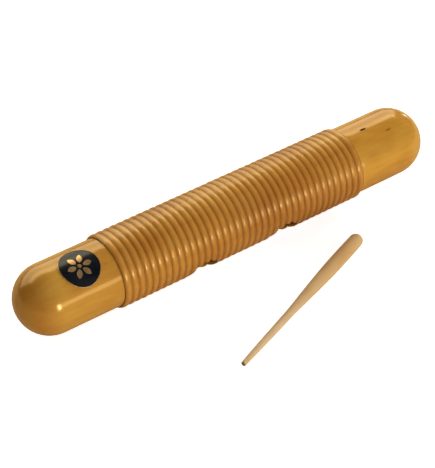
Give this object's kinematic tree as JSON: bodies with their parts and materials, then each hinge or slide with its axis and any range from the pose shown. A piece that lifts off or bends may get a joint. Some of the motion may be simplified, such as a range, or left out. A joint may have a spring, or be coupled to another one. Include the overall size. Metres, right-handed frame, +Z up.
{
  "type": "guiro",
  "caption": "Hollow wooden tube guiro with turned ribs, smooth domed ends, thumb and finger holes, and a tapered wooden scraper lying beside it.",
  "frame": {"origin": "middle of the footprint of the guiro and its scraper, on the surface they lie on", "axes": "+X along the guiro from its badge end to its plain end, +Y from the scraper towards the guiro, +Z up"},
  "size_m": [0.3996, 0.156, 0.063],
  "materials": {
    "rib_wood": "satin lacquer over turned reddish-brown hardwood",
    "left_cap_wood": "gloss lacquer over golden-brown hardwood",
    "right_cap_wood": "gloss lacquer over golden-brown hardwood",
    "badge_face": null,
    "scraper_wood": "bare sanded pale hardwood"
  },
  "bodies": {
    "guiro": {"ribbed_tube": "rib_wood", "left_end_cap": "left_cap_wood", "right_end_cap": "right_cap_wood", "badge": "badge_face"},
    "scraper": {"scraper": "scraper_wood"}
  },
  "joints": [
    {"name": "scraper_swing", "type": "hinge", "parent": "guiro", "child": "scraper", "pos_m": [0.08374, -0.01838, 0.00712], "axis": [-1, 0, 0], "range_deg": [0, 135.2]}
  ]
}
